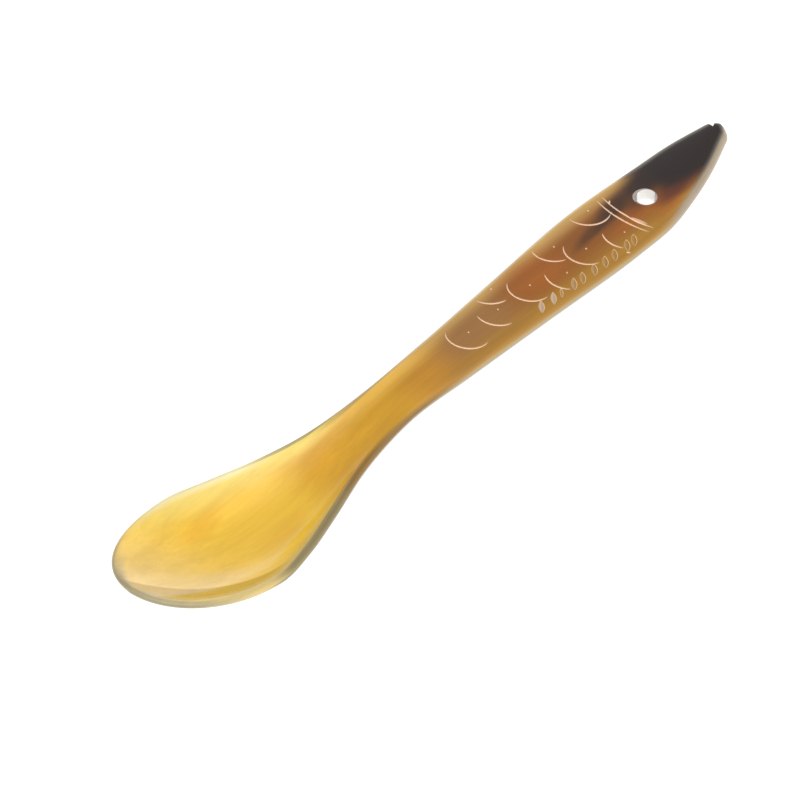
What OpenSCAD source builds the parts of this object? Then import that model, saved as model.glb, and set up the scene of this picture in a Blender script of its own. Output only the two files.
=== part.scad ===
// Horn spoon with a fish for a handle, all one piece: a plate of horn sawn to shape, pressed to a bowl,
// rounded along its rim, then cut with scales, gill lines and belly marks and drilled for the eye.
// Millimetres. The spoon lies as it rests, on z = 0: +X runs from the bowl to the fish's snout, +Y is the
// fish's back and +Z is up. The origin is on the ground, under the middle of the length.

/* [Overall] */
// length from the toe of the bowl to the end of the snout
spoon_length = 170; // [150:1:200]
// thickness of the horn in the bowl
bowl_wall = 1.8; // [1.2:0.1:3]
// thickness of the horn in the handle
handle_thickness = 2.6; // [1.8:0.1:4]
// width of the rounding along the rim of the bowl and the edge of the handle
edge_round = 1.2; // [0.6:0.1:2]

/* [Bowl] */
// width of the bowl across its widest place
bowl_width = 29.3; // [22:0.1:38]
// widest place of the bowl, from the toe
bowl_widest = 24; // [18:1:30]
// depth of the bowl below its rim
bowl_depth = 5; // [3:0.1:9]
// how flat the bottom of the bowl is across: 2 for an even curve, more for a flat bottom and steep sides
bowl_flatness = 2.6; // [2:0.1:4]
// deepest place of the bowl, from the toe
bowl_deepest = 34; // [26:1:40]
// lowest place of the rim, from the toe
rim_lowest = 42; // [36:1:50]
// rise of the rim at the toe above the rim's lowest place
toe_rise = 8; // [3:0.1:12]
// how the rim sweeps up to the toe: 1 for a straight rim, more for a hollow one
toe_sweep = 1.8; // [1.5:0.1:3]

/* [Neck] */
// narrowest place of the handle, from the toe
neck_place = 68; // [60:1:80]
// width of the narrowest place
neck_width = 11.3; // [8:0.1:16]
// rise of the neck above the rim's lowest place
neck_rise = 1.4; // [0:0.1:4]
// how far the hollow of the bowl fades out past the neck
hollow_fade = 10; // [4:1:20]

/* [Fish] */
// widest place of the fish, behind its gills, from the toe
fish_widest = 132; // [115:1:138]
// reach of the fish's back from the middle line, at the widest place
back_reach = 9.7; // [7:0.1:13]
// reach of the fish's belly from the middle line, at the widest place
belly_reach = 7.3; // [6:0.1:11]
// rise of the upper face from its edges to its middle
face_crown = 0.7; // [0.2:0.1:1.4]

/* [Snout] */
// back from the middle line at the end of the snout, before the end is rounded off
snout_back = 7; // [5:0.1:9]
// chin from the middle line there, toward the back
snout_chin = 2.4; // [1:0.1:3]
// length of the rounded end of the snout
snout_round = 2.2; // [1.5:0.1:5]
// corner of the mouth, from the end of the snout
mouth_setback = 2; // [1:0.1:3]
// corner of the mouth, in from the edge of the back
mouth_depth = 2.05; // [0.8:0.05:2.5]
// turn of the mouth from the middle line
mouth_turn = 50; // [30:1:65]
// angle between the lips
mouth_gape = 58; // [30:1:70]

/* [Eye] */
// bore of the eye, right through the head
eye_bore = 4; // [2:0.1:6]
// width of the bevel round the top of the eye
eye_bevel = 0.4; // [0.1:0.05:0.8]
// how far the bevel strays from the bore, toward the bowl
bevel_stray = 0.2; // [0:0.05:0.3]
// middle of the eye, from the end of the snout
eye_setback = 26.4; // [20:0.1:32]
// middle of the eye, from the middle line toward the back
eye_side = 1.5; // [-1:0.1:3]

/* [Carving] */
// width of the cut lines of the scales and gills
line_width = 0.4; // [0.3:0.05:0.9]
// radius of a scale, which the cutter swings round a centre mark
scale_radius = 4.3; // [3.5:0.1:5]
// width of a centre mark
mark_width = 0.5; // [0.4:0.05:1]
// middle of the front gill line, from the end of the snout
gill_setback = 33.3; // [31:0.1:38]
// gap between the gill lines
gill_gap = 1.5; // [1:0.1:3]
// radius of the gill lines
gill_radius = 17; // [14:1:40]
// reach of a gill line either way from its middle, in degrees
gill_reach = 23; // [12:1:26]
// length of a belly mark
tick_length = 3.2; // [2:0.1:4]
// width of a belly mark
tick_width = 1.2; // [0.6:0.05:1.4]
// depth of a belly mark
tick_depth = 0.3; // [0.2:0.05:0.5]
// turn of a belly mark from the middle line
tick_turn = 46; // [20:1:60]
// foremost belly mark, behind the front gill line
tick_setback = 4; // [2:0.1:8]
// step from one belly mark to the next
tick_step = 2.9; // [2.5:0.1:4]
// number of belly marks
tick_count = 10; // [4:1:10]
// belly marks, from the edge of the belly
tick_inset = 2.6; // [1.5:0.1:3]

/* [Hidden] */
$fn = 48;

// Places along the length, from the toe
hollow_end = neck_place + hollow_fade;
snout_start = spoon_length - snout_round;
eye_place = spoon_length - eye_setback;
gill_place = spoon_length - gill_setback;

// How the outline and the handle's height run from one named place to the next, as
// [share of the way, share of the change]
bowl_flank = [[0.22, 0.21], [0.43, 0.51], [0.68, 0.84]];
back_swell = [[0.25, 0.12], [0.58, 0.5]];
belly_swell = [[0.25, 0.36], [0.58, 0.76]];
back_fall = [[0.47, 0.21], [0.69, 0.36]];
chin_rise = [[0.26, 0.055], [0.47, 0.24], [0.69, 0.505]];
handle_fall = [[0.14, 0.07], [0.4, 0.3], [0.68, 0.65]];

// Scales, as [centre mark behind the gills, centre mark from the middle line, start and end of the cut in
// degrees]
scales = [
    [45, 0.8, 128, 281],
    [36.6, 0.9, 155, 260],
    [33, 5.7, 181, 263],
    [27.5, 0.9, 121, 274],
    [20, -1.8, 140, 232],
    [16.1, 4.8, 144, 254],
    [12.4, 0, 122, 258],
    [3.7, 6.9, 162, 301],
    [3.7, -2.1, 140, 219]
];

// Slips of the cutter, as [places behind the gills and from the middle line] along each cut
slips = [
    [[0.1, -0.2], [-0.2, -2.2], [-0.75, -4]],
    [[-0.4, 5.2], [-0.85, 5.5], [-1.3, 5.8]],
    [[7.6, -5.8], [7.3, -6.1], [7, -6.4]]
];

// How each belly mark strays, as [shift along the belly, share of the full depth]
tick_strays = [
    [0, 1], [0.8, 1], [0, 1], [0.2, 1], [0, 1],
    [-0.4, 1], [0.1, 1], [-0.5, 0.6], [0.2, 1], [-0.2, 1]
];

// Fineness of the shape
length_step = 2.4;
fine_step = 0.5;
toe_steps = 14;
snout_steps = 5;
face_steps = 14;
line_steps = 14;
nudge = 0.02;

// How far a cutter stands out past the faces that it cuts through
over = 1;
// Share of its depth by which a cutter has risen out of the face at both ends of a line
lift = 0.15;

// Smooth curve through knots [x, y], level at its first knot
function between(a, b, share) = a + (b - a) * share;
function span(k, x, i = 0) = i >= len(k) - 2 || x < k[i + 1][0] ? i : span(k, x, i + 1);
function grade(k, i) = (k[i + 1][1] - k[i][1]) / (k[i + 1][0] - k[i][0]);
function knot_grade(k, i) =
    i == 0 ? 0 :
    i == len(k) - 1 ? grade(k, i - 1) :
    let (before = k[i][0] - k[i - 1][0], after = k[i + 1][0] - k[i][0])
    (grade(k, i) * before + grade(k, i - 1) * after) / (before + after);
function curve(k, x) =
    let (i = span(k, x), h = k[i + 1][0] - k[i][0], t = (x - k[i][0]) / h)
    let (level = between(k[i][1], k[i + 1][1], t^2 * (3 - 2 * t)))
    level + h * ((t^3 - 2 * t^2 + t) * knot_grade(k, i) + (t^3 - t^2) * knot_grade(k, i + 1));

// Knots from one place to the next, both ends among them
function run(from, to, shape) = [
    from,
    for (s = shape) [between(from[0], to[0], s[0]), between(from[1], to[1], s[1])],
    to
];
function tail(k) = [for (i = [1 : len(k) - 1]) k[i]];

// Slow start and slow stop, from 0 to 1
function ease(x, from, to) =
    let (t = min(1, max(0, (x - from) / (to - from))))
    t^2 * (3 - 2 * t);

// Outline: knots of the back on +Y and of the belly on -Y, as reaches from the middle line
bowl_side = [bowl_widest, bowl_width / 2];
neck_side = [neck_place, neck_width / 2];
back_top = [fish_widest, back_reach];
back_end = [spoon_length, snout_back];
belly_top = [fish_widest, belly_reach];
belly_end = [spoon_length, -snout_chin];
flank = run(bowl_side, neck_side, bowl_flank);
back = concat(
    flank,
    tail(run(neck_side, back_top, back_swell)),
    tail(run(back_top, back_end, back_fall))
);
belly = concat(
    flank,
    tail(run(neck_side, belly_top, belly_swell)),
    tail(run(belly_top, belly_end, chin_rise))
);

function reach(k, x) = curve(k, max(bowl_widest, x));
function end_round(x) =
    x < bowl_widest ? sqrt(max(0, 1 - (1 - x / bowl_widest)^2)) :
    x > snout_start ? sqrt(max(0, 1 - ((x - snout_start) / snout_round)^2)) :
    1;
function middle(x) = (reach(back, x) - reach(belly, x)) / 2;
function half_width(x) = (reach(back, x) + reach(belly, x)) / 2 * end_round(x);
function edge(x, side) = middle(x) + side * half_width(x);
function edge_slope(x, side) =
    let (a = max(0, x - nudge), b = min(spoon_length, x + nudge))
    (edge(b, side) - edge(a, side)) / (b - a);

// Side view: depth of the bowl, and heights of the rim above the rim's lowest place
function hollow(x) =
    x < bowl_deepest ? bowl_depth * (1 - (1 - x / bowl_deepest)^2) :
    bowl_depth * (1 - ease(x, bowl_deepest, hollow_end));
function bowl_rim(x) =
    x < rim_lowest ? toe_rise * (1 - x / rim_lowest)^toe_sweep :
    neck_rise * ease(x, rim_lowest, neck_place);
underside = min([for (x = [bowl_widest : fine_step : neck_place]) bowl_rim(x) - hollow(x)]) - bowl_wall / 2;
neck_height = [neck_place, neck_rise];
snout_height = [spoon_length, underside + handle_thickness / 2];
handle = run(neck_height, snout_height, handle_fall);
function rim_height(x) = (x < neck_place ? bowl_rim(x) : curve(handle, x)) - underside;

// Cross section: the sheet sags in the bowl and is crowned in the handle, over a flat back
function handle_share(x) = ease(x, bowl_deepest, neck_place);
function crown(x) = handle_share(x) * face_crown / 2;
function sag(x, a) = hollow(x) * (1 - abs(a)^bowl_flatness) - crown(x) * (1 - a^2);
function thickness(x) = between(bowl_wall, handle_thickness, handle_share(x));
function rounding(x, a) =
    let (in_from_edge = (1 - abs(a)) * half_width(x) / sqrt(1 + edge_slope(x, a < 0 ? -1 : 1)^2))
    let (u = max(0, min(1, in_from_edge / edge_round)))
    sqrt(u * (2 - u));
function half_thickness(x, a) = (thickness(x) / 2 - crown(x) * a^2) * rounding(x, a);
function sheet_slope(x, a) =
    (hollow(x) * bowl_flatness * abs(a)^(bowl_flatness - 1) * sign(a) - 2 * crown(x) * a) / half_width(x);

// Point of the upper face (1) or the lower face (-1), at a share of the half width from the middle
function skin_point(x, a, face) =
    let (slope = sheet_slope(x, a), out = face * half_thickness(x, a) / sqrt(1 + slope^2))
    [x, middle(x) + half_width(x) * a - slope * out, rim_height(x) - sag(x, a) + out];

// Height of the upper face at a place on the handle
function face_height(x, y) =
    let (guess = (y - middle(x)) / half_width(x))
    let (shift = sheet_slope(x, guess) * half_thickness(x, guess))
    skin_point(x, (y + shift - middle(x)) / half_width(x), 1)[2];

// Stations along the length and places across a ring, closer together toward the ends
toe_stations = [for (i = [1 : toe_steps]) bowl_widest * (1 - cos(90 * i / toe_steps))];
body_steps = round((snout_start - bowl_widest) / length_step);
body_stations = [for (i = [1 : body_steps - 1]) between(bowl_widest, snout_start, i / body_steps)];
snout_stations = [for (i = [0 : snout_steps - 1]) snout_start + snout_round * sin(90 * i / snout_steps)];
stations = concat(toe_stations, body_stations, snout_stations);
across = [for (i = [0 : face_steps]) -cos(180 * i / face_steps)];

// Faces between rings of n points, and the fan of faces from one ring to a point
function walls(n, rings) = [
    for (j = [0 : rings - 2]) for (i = [0 : n - 1])
        let (a = j * n + i, b = j * n + (i + 1) % n)
        each [[a, b, a + n], [b, b + n, a + n]]
];
function fan(n, first, point, turn) = [
    for (i = [0 : n - 1])
        let (a = first + i, b = first + (i + 1) % n)
        turn > 0 ? [point, a, b] : [point, b, a]
];

function ring(x) = concat(
    [for (a = across) skin_point(x, a, 1)],
    [for (i = [face_steps - 1 : -1 : 1]) skin_point(x, across[i], -1)]
);

module horn() {
    n = 2 * face_steps;
    count = len(stations) * n;
    toe = [0, middle(0), rim_height(0)];
    snout = [spoon_length, middle(spoon_length), rim_height(spoon_length)];
    ends = concat(fan(n, 0, count, -1), fan(n, count - n, count + 1, 1));
    points = concat([for (x = stations) each ring(x)], [toe, snout]);
    polyhedron(points, concat(walls(n, len(stations)), ends), convexity = 6);
}

// Cut line: a square-edged tool on its corner follows the face, rising out of it at both ends of the path
module cut_line(path) {
    n = len(path) - 1;
    reach = line_width / 2 + over;
    points = [for (i = [0 : n])
        let (p = path[i], way = path[min(n, i + 1)] - path[max(0, i - 1)])
        let (side = [-way[1], way[0]] / norm(way) * reach)
        let (z = face_height(p[0], p[1]) - line_width / 2 * between(-lift, 1, sqrt(sin(180 * i / n))))
        each [[p[0] - side[0], p[1] - side[1], z + reach], [p[0] + side[0], p[1] + side[1], z + reach],
              [p[0], p[1], z]]];
    polyhedron(points, concat(walls(3, n + 1), [[2, 1, 0], [3 * n, 3 * n + 1, 3 * n + 2]]), convexity = 4);
}

function arc(centre, radius, from, to) = [
    for (i = [0 : line_steps])
        let (t = between(from, to, i / line_steps))
        centre + radius * [cos(t), sin(t)]
];

module scale_cuts() {
    for (s = scales) {
        mark = [gill_place - s[0], s[1]];
        cut_line(arc(mark, scale_radius, s[2], s[3]));
        translate([mark[0], mark[1], face_height(mark[0], mark[1]) - mark_width / 2])
            cylinder(r1 = 0, r2 = mark_width, h = mark_width);
    }
}

module gill_cuts() {
    for (i = [0 : 1]) {
        centre = [gill_place - i * gill_gap + gill_radius, middle(gill_place)];
        cut_line(arc(centre, gill_radius, 180 - gill_reach, 180 + gill_reach));
    }
}

module slip_cuts() {
    for (s = slips)
        cut_line([for (p = s) [gill_place - p[0], p[1]]]);
}

// Belly marks: each is one bite of a small wheel with a sharp rim
module tick_cuts() {
    wheel = (tick_length^2 / 4 + tick_depth^2) / (2 * tick_depth);
    hub = wheel - 2 * tick_depth;
    for (i = [0 : tick_count - 1]) {
        x = gill_place - tick_setback - i * tick_step + tick_strays[i][0];
        y = edge(x, -1) + tick_inset;
        translate([x, y, face_height(x, y) - tick_depth * tick_strays[i][1] + wheel])
            rotate([90, 0, tick_turn])
                rotate_extrude()
                    polygon([[wheel, 0], [hub, tick_width], [hub, -tick_width]]);
    }
}

module eye_cut() {
    top = face_height(eye_place, eye_side);
    translate([eye_place, eye_side, -over])
        cylinder(d = eye_bore, h = top + 2 * over);
    translate([eye_place - bevel_stray, eye_side, top - eye_bevel])
        cylinder(r1 = eye_bore / 2, r2 = eye_bore / 2 + 2 * eye_bevel, h = 2 * eye_bevel);
}

// Mouth: cut by a three-square file held upright
module mouth_cut() {
    x = spoon_length - mouth_setback;
    file = 2 * (mouth_setback + mouth_depth);
    lip = file * [cos(mouth_gape / 2), sin(mouth_gape / 2)];
    translate([x, edge(x, 1) - mouth_depth, -over])
        rotate(mouth_turn)
            linear_extrude(rim_height(x) + handle_thickness + over)
                polygon([[0, 0], [lip[0], -lip[1]], lip]);
}

module spoon() {
    color([0.82, 0.6, 0.25])
        translate([-spoon_length / 2, 0, 0])
            difference() {
                horn();
                scale_cuts();
                gill_cuts();
                slip_cuts();
                tick_cuts();
                eye_cut();
                mouth_cut();
            }
}

spoon();
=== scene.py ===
import math
from types import SimpleNamespace

import bmesh
import bpy
import numpy as np
from bpy.props import FloatProperty, FloatVectorProperty, IntProperty, PointerProperty
from mathutils import Matrix, Vector
from mathutils.kdtree import KDTree


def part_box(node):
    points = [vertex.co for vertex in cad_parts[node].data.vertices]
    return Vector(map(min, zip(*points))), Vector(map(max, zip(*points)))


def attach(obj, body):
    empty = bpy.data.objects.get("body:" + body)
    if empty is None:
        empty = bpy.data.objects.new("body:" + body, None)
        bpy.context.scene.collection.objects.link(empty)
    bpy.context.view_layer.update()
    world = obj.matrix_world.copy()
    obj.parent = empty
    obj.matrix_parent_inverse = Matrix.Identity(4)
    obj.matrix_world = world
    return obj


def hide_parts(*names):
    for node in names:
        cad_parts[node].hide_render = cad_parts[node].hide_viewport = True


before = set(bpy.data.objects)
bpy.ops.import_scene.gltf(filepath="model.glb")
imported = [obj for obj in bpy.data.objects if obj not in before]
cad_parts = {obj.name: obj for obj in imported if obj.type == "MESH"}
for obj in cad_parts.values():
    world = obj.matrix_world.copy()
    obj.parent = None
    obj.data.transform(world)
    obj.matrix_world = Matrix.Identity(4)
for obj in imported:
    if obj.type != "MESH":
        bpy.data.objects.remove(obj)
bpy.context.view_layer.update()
MM = 0.001

bl_info = {
    "name": "Horn Spoon",
    "version": (1, 0, 0),
    "blender": (4, 5, 0),
    "location": "3D View > Sidebar > Horn Spoon",
    "description": "Makes a polished horn spoon with a carved fish for a handle",
    "category": "Add Mesh",
}

# How the outline and the handle's height run from one named place to the next, as
# (share of the way, share of the change)
BOWL_FLANK = ((0.22, 0.21), (0.43, 0.51), (0.68, 0.84))
BACK_SWELL = ((0.25, 0.12), (0.58, 0.5))
BELLY_SWELL = ((0.25, 0.36), (0.58, 0.76))
BACK_FALL = ((0.47, 0.21), (0.69, 0.36))
CHIN_RISE = ((0.26, 0.055), (0.47, 0.24), (0.69, 0.505))
HANDLE_FALL = ((0.14, 0.07), (0.4, 0.3), (0.68, 0.65))

# Scales, as (centre mark behind the gills, centre mark from the middle line, start and end in degrees)
SCALES = (
    (45, 0.8, 128, 281),
    (36.6, 0.9, 155, 260),
    (33, 5.7, 181, 263),
    (27.5, 0.9, 121, 274),
    (20, -1.8, 140, 232),
    (16.1, 4.8, 144, 254),
    (12.4, 0, 122, 258),
    (3.7, 6.9, 162, 301),
    (3.7, -2.1, 140, 219),
)
# Slips of the cutter, as (place behind the gills, place from the middle line) along each cut
SLIPS = (
    ((0.1, -0.2), (-0.2, -2.2), (-0.75, -4)),
    ((-0.4, 5.2), (-0.85, 5.5), (-1.3, 5.8)),
    ((7.6, -5.8), (7.3, -6.1), (7, -6.4)),
)
# How each belly mark strays, as (shift along the belly, share of the full depth)
TICK_STRAYS = (
    (0, 1), (0.8, 1), (0, 1), (0.2, 1), (0, 1),
    (-0.4, 1), (0.1, 1), (-0.5, 0.6), (0.2, 1), (-0.2, 1),
)

# How worn and grey the floor of each belly mark is
TICK_WEAR = (0.05, 0.08, 0.1, 0.12, 0.15, 0.15, 0.3, 0.3, 0.85, 0.8)

# Patches of colour along the fibres, each an oval in millimetres, as (place from the toe, place from the
# middle line, reach either way, width either way, turn in degrees, core with full colour, strength)
GOLD_PATCHES = ((26, 7, 9, 3, 12, 0.2, 0.5), (36, -4, 10, 3, 8, 0.2, 0.35), (51, 1.4, 6, 3, 0, 0.2, 0.7))
RED_PATCHES = (
    (112, 2.6, 12, 7, 0, 0.2, 0.75),
    (137, -0.8, 9, 2.5, 8, 0.2, 0.5),
    (148, -1.2, 12, 3.2, 14, 0.2, 0.8),
)
EMBER_PATCHES = ((149.5, -0.4, 9, 2.8, 8, 0.3, 0.85), (168, 9.5, 27, 13.2, 14, 0.75, 0.85))
# The head, and the streak that leaves it through the gills
DARK_PATCHES = (
    (168, 9.5, 25, 11.5, 14, 0.75, 1),
    (152, 3.2, 10, 5, 8, 0.3, 0.95),
    (144, 4.4, 10, 4.2, 26, 0.2, 0.9),
    (136, 4, 10, 2.8, 18, 0.2, 0.8),
    (128, 2.4, 9, 2.2, 12, 0.2, 0.6),
)


def length(name, description, mm):
    """A length of the spoon, shown in the scene's own unit."""
    return FloatProperty(
        name=name, description=description, default=mm * MM, min=0, subtype="DISTANCE", unit="LENGTH"
    )


def number(name, description, default):
    return FloatProperty(name=name, description=description, default=default)


def degrees(name, description, default):
    return FloatProperty(
        name=name, description=description, default=math.radians(default), subtype="ANGLE", unit="ROTATION"
    )


def tone(name, description, red, green, blue):
    """A colour as it is seen on a screen, each part from 0 to 255."""
    return FloatVectorProperty(
        name=name,
        description=description,
        default=(red / 255, green / 255, blue / 255),
        min=0,
        max=1,
        subtype="COLOR_GAMMA",
    )


class SpoonSizes(bpy.types.PropertyGroup):
    """Sizes of the spoon, the same as those of its solid."""

    spoon_length: length("Length", "From the toe of the bowl to the end of the snout", 170)
    bowl_wall: length("Bowl wall", "Thickness of the horn in the bowl", 1.8)
    handle_thickness: length("Handle thickness", "Thickness of the horn in the handle", 2.6)
    edge_round: length("Edge rounding", "Width of the rounding along every edge", 1.2)
    bowl_width: length("Bowl width", "Width across the widest place", 29.3)
    bowl_widest: length("Widest place", "Widest place of the bowl, from the toe", 24)
    bowl_depth: length("Bowl depth", "Depth of the bowl below its rim", 5)
    bowl_flatness: number("Bowl flatness", "2 for an even curve across, more for a flat bottom", 2.6)
    bowl_deepest: length("Deepest place", "Deepest place of the bowl, from the toe", 34)
    rim_lowest: length("Rim's lowest place", "Lowest place of the rim, from the toe", 42)
    toe_rise: length("Toe rise", "Rise of the rim at the toe above its lowest place", 8)
    toe_sweep: number("Toe sweep", "1 for a straight rim up to the toe, more for a hollow one", 1.8)
    neck_place: length("Neck place", "Narrowest place of the handle, from the toe", 68)
    neck_width: length("Neck width", "Width of the narrowest place", 11.3)
    neck_rise: length("Neck rise", "Rise of the neck above the rim's lowest place", 1.4)
    hollow_fade: length("Hollow fade", "How far the hollow of the bowl fades out past the neck", 10)
    fish_widest: length("Fish's widest place", "Behind the gills, from the toe", 132)
    back_reach: length("Back reach", "Reach of the back from the middle line", 9.7)
    belly_reach: length("Belly reach", "Reach of the belly from the middle line", 7.3)
    face_crown: length("Face crown", "Rise of the upper face from its edges to its middle", 0.7)
    snout_back: length("Snout back", "Back from the middle line at the end of the snout", 7)
    snout_chin: length("Snout chin", "Chin from the middle line there, toward the back", 2.4)
    snout_round: length("Snout rounding", "Length of the rounded end of the snout", 2.2)
    mouth_setback: length("Mouth setback", "Corner of the mouth, from the end of the snout", 2)
    mouth_depth: length("Mouth depth", "Corner of the mouth, in from the edge of the back", 2.05)
    mouth_turn: degrees("Mouth turn", "Turn of the mouth from the middle line", 50)
    mouth_gape: degrees("Mouth gape", "Angle between the lips", 58)
    eye_bore: length("Eye bore", "Bore of the eye, right through the head", 4)
    eye_bevel: length("Eye bevel", "Width of the bevel round the top of the eye", 0.4)
    bevel_stray: length("Bevel stray", "How far the bevel strays from the bore", 0.2)
    eye_setback: length("Eye setback", "Middle of the eye, from the end of the snout", 26.4)
    eye_side: length("Eye side", "Middle of the eye, from the middle line toward the back", 1.5)


class CarvingSizes(bpy.types.PropertyGroup):
    """Sizes of what is cut into the fish."""

    line_width: length("Line width", "Width of the cut lines", 0.4)
    scale_radius: length("Scale radius", "Radius of a scale round its centre mark", 4.3)
    mark_width: length("Mark width", "Width of a centre mark", 0.5)
    gill_setback: length("Gill setback", "Middle of the front gill line, from the end of the snout", 33.3)
    gill_gap: length("Gill gap", "Gap between the gill lines", 1.5)
    gill_radius: length("Gill radius", "Radius of the gill lines", 17)
    gill_reach: degrees("Gill reach", "Reach of a gill line either way from its middle", 23)
    tick_length: length("Belly mark length", "Length of a belly mark", 3.2)
    tick_width: length("Belly mark width", "Width of a belly mark", 1.2)
    tick_depth: length("Belly mark depth", "Depth of a belly mark", 0.3)
    tick_turn: degrees("Belly mark turn", "Turn of a belly mark from the middle line", 46)
    tick_setback: length("Belly mark setback", "Foremost belly mark, behind the front gill line", 4)
    tick_step: length("Belly mark step", "Step from one belly mark to the next", 2.9)
    tick_count: IntProperty(
        name="Belly marks", description="Number of belly marks", default=10, min=1, max=len(TICK_STRAYS)
    )
    tick_inset: length("Belly mark inset", "Belly marks, from the edge of the belly", 2.6)


class HornColours(bpy.types.PropertyGroup):
    """Colours of the horn from the toe to the snout, before the light falls on them; a few are painted light
    and shade instead, as noted at each.
    """

    toe: tone("Toe", "Pale horn at the toe of the bowl", 234, 196, 96)
    bowl: tone("Bowl", "Golden horn of the bowl", 240, 195, 58)
    bowl_end: tone("Bowl's end", "Horn where the bowl runs into the neck", 218, 163, 34)
    neck: tone("Neck", "Amber horn of the neck", 204, 151, 28)
    neck_end: tone("Neck's end", "Amber horn where the fish's tail starts", 192, 133, 28)
    tail: tone("Tail", "Olive brown horn of the tail", 158, 111, 54)
    scales: tone("Scales", "Brown horn among the scales", 146, 88, 10)
    gills: tone("Gills", "Brown horn at the gills", 138, 78, 10)
    # Painted glow and highlight along the thin far side of the bowl, brightest in the lit lip at the very
    # edge
    bowl_back: tone("Bowl, back side", "Thin pale horn along the far side of the bowl", 236, 209, 102)
    lit_lip: tone("Lit lip", "Thinnest horn at the very edge of the bowl's far side", 244, 233, 178)
    deep_gold: tone("Deep gold", "Deeper gold patches in the bowl", 230, 170, 34)
    # Painted reflection of the bright surroundings on the near wall of the bowl
    peach: tone("Peach horn", "Milky horn low in the bowl", 244, 208, 128)
    # Painted reflection of the far wall, beyond the crisp border of the milky band
    amber_band: tone("Amber band", "Amber horn under the near rim of the bowl", 202, 165, 70)
    lip_pale: tone("Lip", "Pale olive horn inside the near rim of the bowl", 216, 190, 118)
    rim: tone("Rim", "Grey olive horn of the bowl's rim", 160, 150, 116)
    # Painted shade under and along the near rim of the bowl
    rim_shade: tone("Rim's underside", "Olive horn under the near rim of the bowl", 128, 116, 78)
    # Painted glow of light through the thin horn along the back side of the neck
    neck_lit: tone("Neck, back side", "Bright thin horn along the back side of the neck", 236, 186, 76)
    neck_olive: tone("Neck, belly side", "Olive brown horn along the belly side of the neck", 136, 102, 42)
    back_edge: tone("Back edge", "Olive gold horn along the back", 206, 164, 92)
    belly_edge: tone("Belly edge", "Olive gold horn along the belly", 165, 118, 34)
    # Partly painted: pale horn at the very edges, lightened further by a painted glow of light through the
    # thin edge
    back_line: tone("Back line", "Pale horn at the very edge of the back", 216, 192, 148)
    belly_line: tone("Belly line", "Pale horn at the very edge of the belly", 172, 150, 102)
    # Painted shade on the faces that turn down under the belly
    belly_under: tone("Belly underside", "Grey olive horn under the edge of the belly", 170, 158, 142)
    red: tone("Red horn", "Reddish horn among the scales", 164, 90, 14)
    ember: tone("Ember", "Dark red horn next to the dark layer", 88, 38, 18)
    dark: tone("Dark horn", "Nearly black horn of the head", 30, 17, 11)
    side_band: tone("Side band", "Pale horn under the dark layer of the head", 158, 143, 121)
    # Painted sheen and glow of light through the thin edge round the dark head
    worn_edge: tone("Worn edge", "Greyish horn round the edge of the dark head", 150, 142, 130)
    fresh: tone("Fresh cut", "Rough pale horn where the cutter went", 252, 213, 178)
    # Partly painted: pale cut horn along the rims of the belly marks, with a painted highlight on the side
    # toward the snout
    mark_rim: tone("Mark's rim", "Golden horn along the rim of a belly mark", 240, 202, 146)
    worn_cut: tone("Worn cut", "Greyish horn in the floor of the belly marks", 196, 172, 154)
    # Partly painted: pale drilled horn, brightened into a painted white glow
    drilled: tone("Drilled horn", "White horn of the eye's wall", 248, 246, 242)


class StageSizes(bpy.types.PropertyGroup):
    """The table, the lights and the camera."""

    table_size: FloatProperty(name="Table", description="Side of the table", default=6, unit="LENGTH")
    table_tone: tone("Table tone", "Paper of the table, which is lit from below", 150, 150, 150)
    table_glow: number("Table glow", "Strength of the light through the table", 0.97)
    overhead: number("Overhead", "Strength of the even light overhead", 0.58)
    horizon: number("Horizon", "Strength of the light low down all round", 0.95)
    near_glow: number("Near glow", "Strength of the wide soft light over the near side", 0.9)
    key: number("Key light", "Power of the lamp in the wide soft light, in watts", 2)
    camera_turn: degrees("Camera turn", "Camera round the spoon, from its side", 48.715)
    camera_rise: degrees("Camera rise", "Camera above the table", 45.776)
    camera_distance: FloatProperty(
        name="Camera distance", description="From the spoon", default=1.1, unit="LENGTH"
    )
    lens: number("Lens", "Focal length of the camera, in millimetres", 268.8)
    aim_left: length("Aim, left", "How far left of the spoon's middle the camera looks", 8.82)
    aim_down: length("Aim, down", "How far below the spoon's middle the camera looks", 6.53)


def in_millimetres(group):
    """The values of a PropertyGroup by name, with its lengths in millimetres."""
    values = SimpleNamespace()
    for item in group.bl_rna.properties:
        if item.identifier in ("rna_type", "name"):
            continue
        value = getattr(group, item.identifier)
        setattr(values, item.identifier, value / MM if item.unit == "LENGTH" else value)
    return values


def between(start, stop, share):
    return start + (stop - start) * share


def ease(x, start, stop):
    """Slow start and slow stop, from 0 to 1."""
    t = np.clip((x - start) / (stop - start), 0, 1)
    return t * t * (3 - 2 * t)


def run(start, stop, shape):
    """Knots from one place to the next, both ends among them."""
    way = [(between(start[0], stop[0], s), between(start[1], stop[1], r)) for s, r in shape]
    return [start] + way + [stop]


def curve(knots, x):
    """Smooth curve through knots (x, y), level at its first knot."""
    kx, ky = np.array(knots, float).T
    step = np.diff(kx)
    grade = np.diff(ky) / step
    slope = np.zeros(len(kx))
    slope[1:-1] = (grade[1:] * step[:-1] + grade[:-1] * step[1:]) / (step[:-1] + step[1:])
    slope[-1] = grade[-1]
    i = np.clip(np.searchsorted(kx, x, side="right") - 1, 0, len(kx) - 2)
    h = step[i]
    t = (x - kx[i]) / h
    level = between(ky[i], ky[i + 1], t**2 * (3 - 2 * t))
    return level + h * ((t**3 - 2 * t**2 + t) * slope[i] + (t**3 - t**2) * slope[i + 1])


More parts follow.
